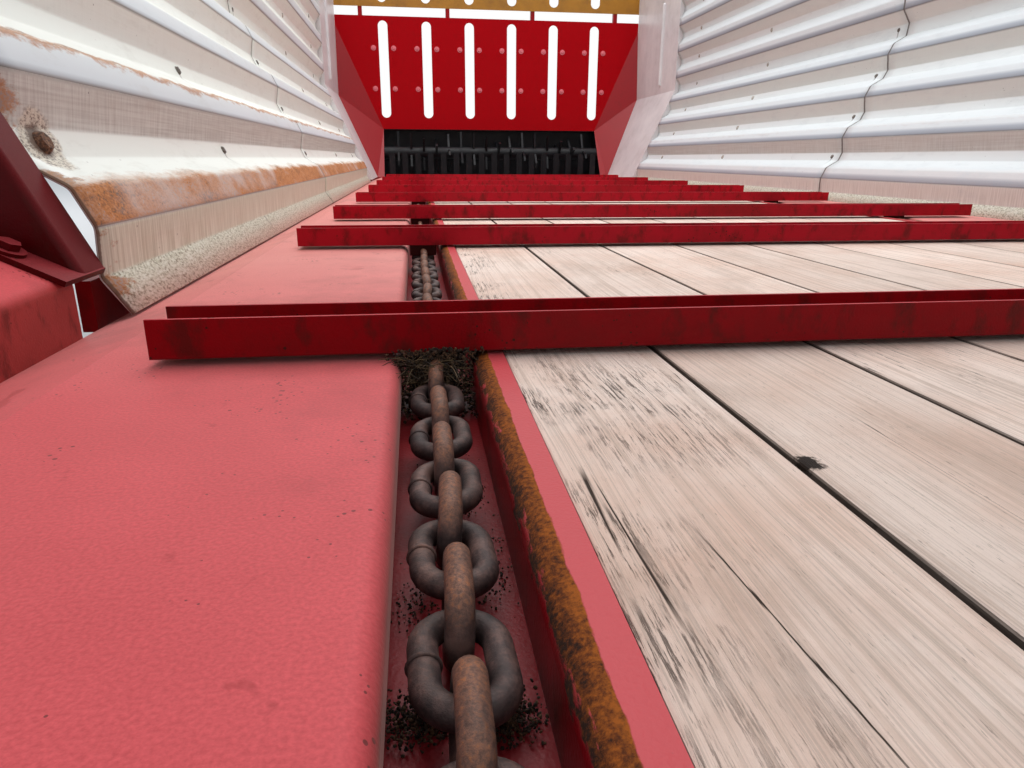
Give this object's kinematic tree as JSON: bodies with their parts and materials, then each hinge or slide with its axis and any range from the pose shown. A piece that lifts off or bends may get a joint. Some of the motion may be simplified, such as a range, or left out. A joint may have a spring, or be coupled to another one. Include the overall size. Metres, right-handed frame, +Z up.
{
  "type": "loader wagon load bed",
  "caption": "Load bed of a loader wagon: chain scraper floor with slats and planks, corrugated side walls, slotted front wall over a feed mouth with rotor, and a raised tailgate.",
  "frame": {"origin": "on the ground plane under the middle of the outline with the tailgate up", "axes": "+Z up, +Y towards the wagon's front, +X to its right"},
  "size_m": [2.3748, 6.525, 2.4],
  "materials": {
    "red_paint": "satin, dusty, worn to rust on edges",
    "cream_coated_sheet": "weathered coated steel",
    "grey_coated_sheet": "satin",
    "softwood": "weathered, unfinished",
    "chain_steel": "rusty",
    "yellow_paint": "satin",
    "dark_paint": "satin",
    "bright_steel": "greased",
    "cast_housing": "painted"
  },
  "bodies": {
    "bed": {"cross_members": "red_paint", "feed_channel_casing": "dark_paint", "floor_planks": "softwood", "floor_slats": "red_paint", "front_chain_shaft": "bright_steel", "front_frame": "red_paint", "front_shaft_bearings": "cast_housing", "front_wall": "red_paint", "left_chain_trough": "red_paint", "left_edge_panel": "red_paint", "left_gate_hinge_pin": "bright_steel", "left_mouth_wing": "red_paint", "left_rear_box_rail": "red_paint", "left_rear_post": "red_paint", "left_scraper_chain": "chain_steel", "left_sill": "red_paint", "left_smooth_side_panel": "grey_coated_sheet", "left_top_rail": "red_paint", "left_wall_posts": "red_paint", "left_wall_sheet_front": "cream_coated_sheet", "left_wall_sheet_rear": "cream_coated_sheet", "mouth_beam": "red_paint", "mouth_comb": "dark_paint", "rear_chain_shaft": "bright_steel", "rear_shaft_bearings": "cast_housing", "returning_slats": "red_paint", "right_chain_trough": "red_paint", "right_edge_panel": "red_paint", "right_gate_hinge_pin": "bright_steel", "right_mouth_wing": "red_paint", "right_rear_box_rail": "red_paint", "right_rear_post": "red_paint", "right_scraper_chain": "chain_steel", "right_sill": "red_paint", "right_smooth_side_panel": "grey_coated_sheet", "right_top_rail": "red_paint", "right_wall_posts": "red_paint", "right_wall_sheet_front": "cream_coated_sheet", "right_wall_sheet_rear": "cream_coated_sheet", "upper_front_wall": "yellow_paint"},
    "tailgate": {"left_tailgate_cheek": "cream_coated_sheet", "right_tailgate_cheek": "cream_coated_sheet", "tailgate_frame": "red_paint", "tailgate_sheet": "cream_coated_sheet"},
    "rotor": {"feed_rotor": "dark_paint"}
  },
  "joints": [
    {"name": "tailgate_hinge", "type": "hinge", "parent": "bed", "child": "tailgate", "pos_m": [0, -1.8325, 1.695], "axis": [1, 0, 0], "range_deg": [0, 90]},
    {"name": "rotor_spin", "type": "hinge", "parent": "bed", "child": "rotor", "pos_m": [0, 3.0775, 0.39], "axis": [1, 0, 0], "continuous": true}
  ]
}
